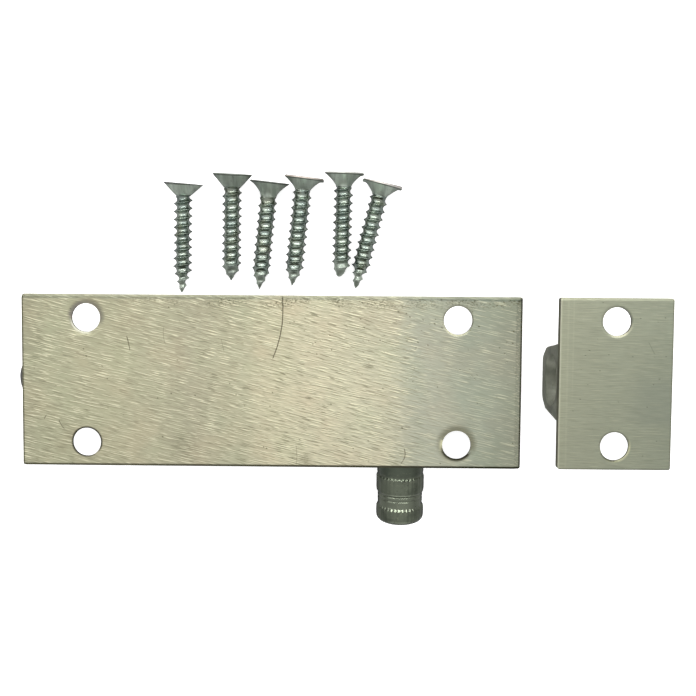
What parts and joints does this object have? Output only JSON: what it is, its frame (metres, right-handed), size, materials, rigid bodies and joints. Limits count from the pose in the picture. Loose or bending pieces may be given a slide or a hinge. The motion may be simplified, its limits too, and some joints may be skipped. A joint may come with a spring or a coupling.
{
  "type": "stair gate latch",
  "caption": "Surface-mounted barrel bolt for a stair gate: a round bolt with a knurled side knob slides through ring lugs into a ring keeper plate, with loose countersunk screws.",
  "frame": {"origin": "centre of the base plate's four-hole screw pattern, on its mounting face", "axes": "+X along the bolt towards the keeper, +Z out of the mounting faces, +Y across the plates away from the knob"},
  "size_m": [0.1352, 0.0758, 0.0168],
  "materials": {
    "base_plate_steel": "brushed along and slightly across, satin",
    "keeper_plate_steel": "brushed along, satin",
    "lug_steel": "satin, as rolled",
    "clip_steel": "plain sheet steel",
    "bolt_steel": "bright drawn",
    "knob_steel": "turned and straight knurled, darkened",
    "stud_steel": "plain",
    "screw_zinc": "zinc plated"
  },
  "bodies": {
    "base": {"base_plate": "base_plate_steel", "rear_guide_lug": "lug_steel", "middle_guide_lug": "lug_steel", "front_guide_lug": "lug_steel"},
    "stop": {"stop_clip": "clip_steel"},
    "bolt": {"bolt_rod": "bolt_steel", "pull_knob": "knob_steel", "knob_stud": "stud_steel"},
    "keeper": {"keeper_plate": "keeper_plate_steel", "keeper_lug": "lug_steel"},
    "screw_1_loose": {"screw_1": "screw_zinc"},
    "screw_2_loose": {"screw_2": "screw_zinc"},
    "screw_3_loose": {"screw_3": "screw_zinc"},
    "screw_4_loose": {"screw_4": "screw_zinc"},
    "screw_5_loose": {"screw_5": "screw_zinc"},
    "screw_6_loose": {"screw_6": "screw_zinc"}
  },
  "joints": [
    {"name": "bolt_slide", "type": "slide", "parent": "base", "child": "stop", "axis": [1, 0, 0], "range_m": [0, 0.015]},
    {"name": "bolt_turn", "type": "hinge", "parent": "stop", "child": "bolt", "pos_m": [0.0269, 0, -0.0083], "axis": [1, 0, 0], "range_deg": [-9, 176]},
    {"name": "keeper_slide", "type": "slide", "parent": "base", "child": "keeper", "axis": [1, 0, 0], "range_m": [-0.006, 0.003]},
    {"name": "screw_1_lift", "type": "slide", "parent": "base", "child": "screw_1_loose", "axis": [0, 0, 1], "range_m": [0, 0.02]},
    {"name": "screw_2_lift", "type": "slide", "parent": "base", "child": "screw_2_loose", "axis": [0, 0, 1], "range_m": [0, 0.02]},
    {"name": "screw_3_lift", "type": "slide", "parent": "base", "child": "screw_3_loose", "axis": [0, 0, 1], "range_m": [0, 0.02]},
    {"name": "screw_4_lift", "type": "slide", "parent": "base", "child": "screw_4_loose", "axis": [0, 0, 1], "range_m": [0, 0.02]},
    {"name": "screw_5_lift", "type": "slide", "parent": "base", "child": "screw_5_loose", "axis": [0, 0, 1], "range_m": [0, 0.02]},
    {"name": "screw_6_lift", "type": "slide", "parent": "base", "child": "screw_6_loose", "axis": [0, 0, 1], "range_m": [0, 0.02]}
  ]
}
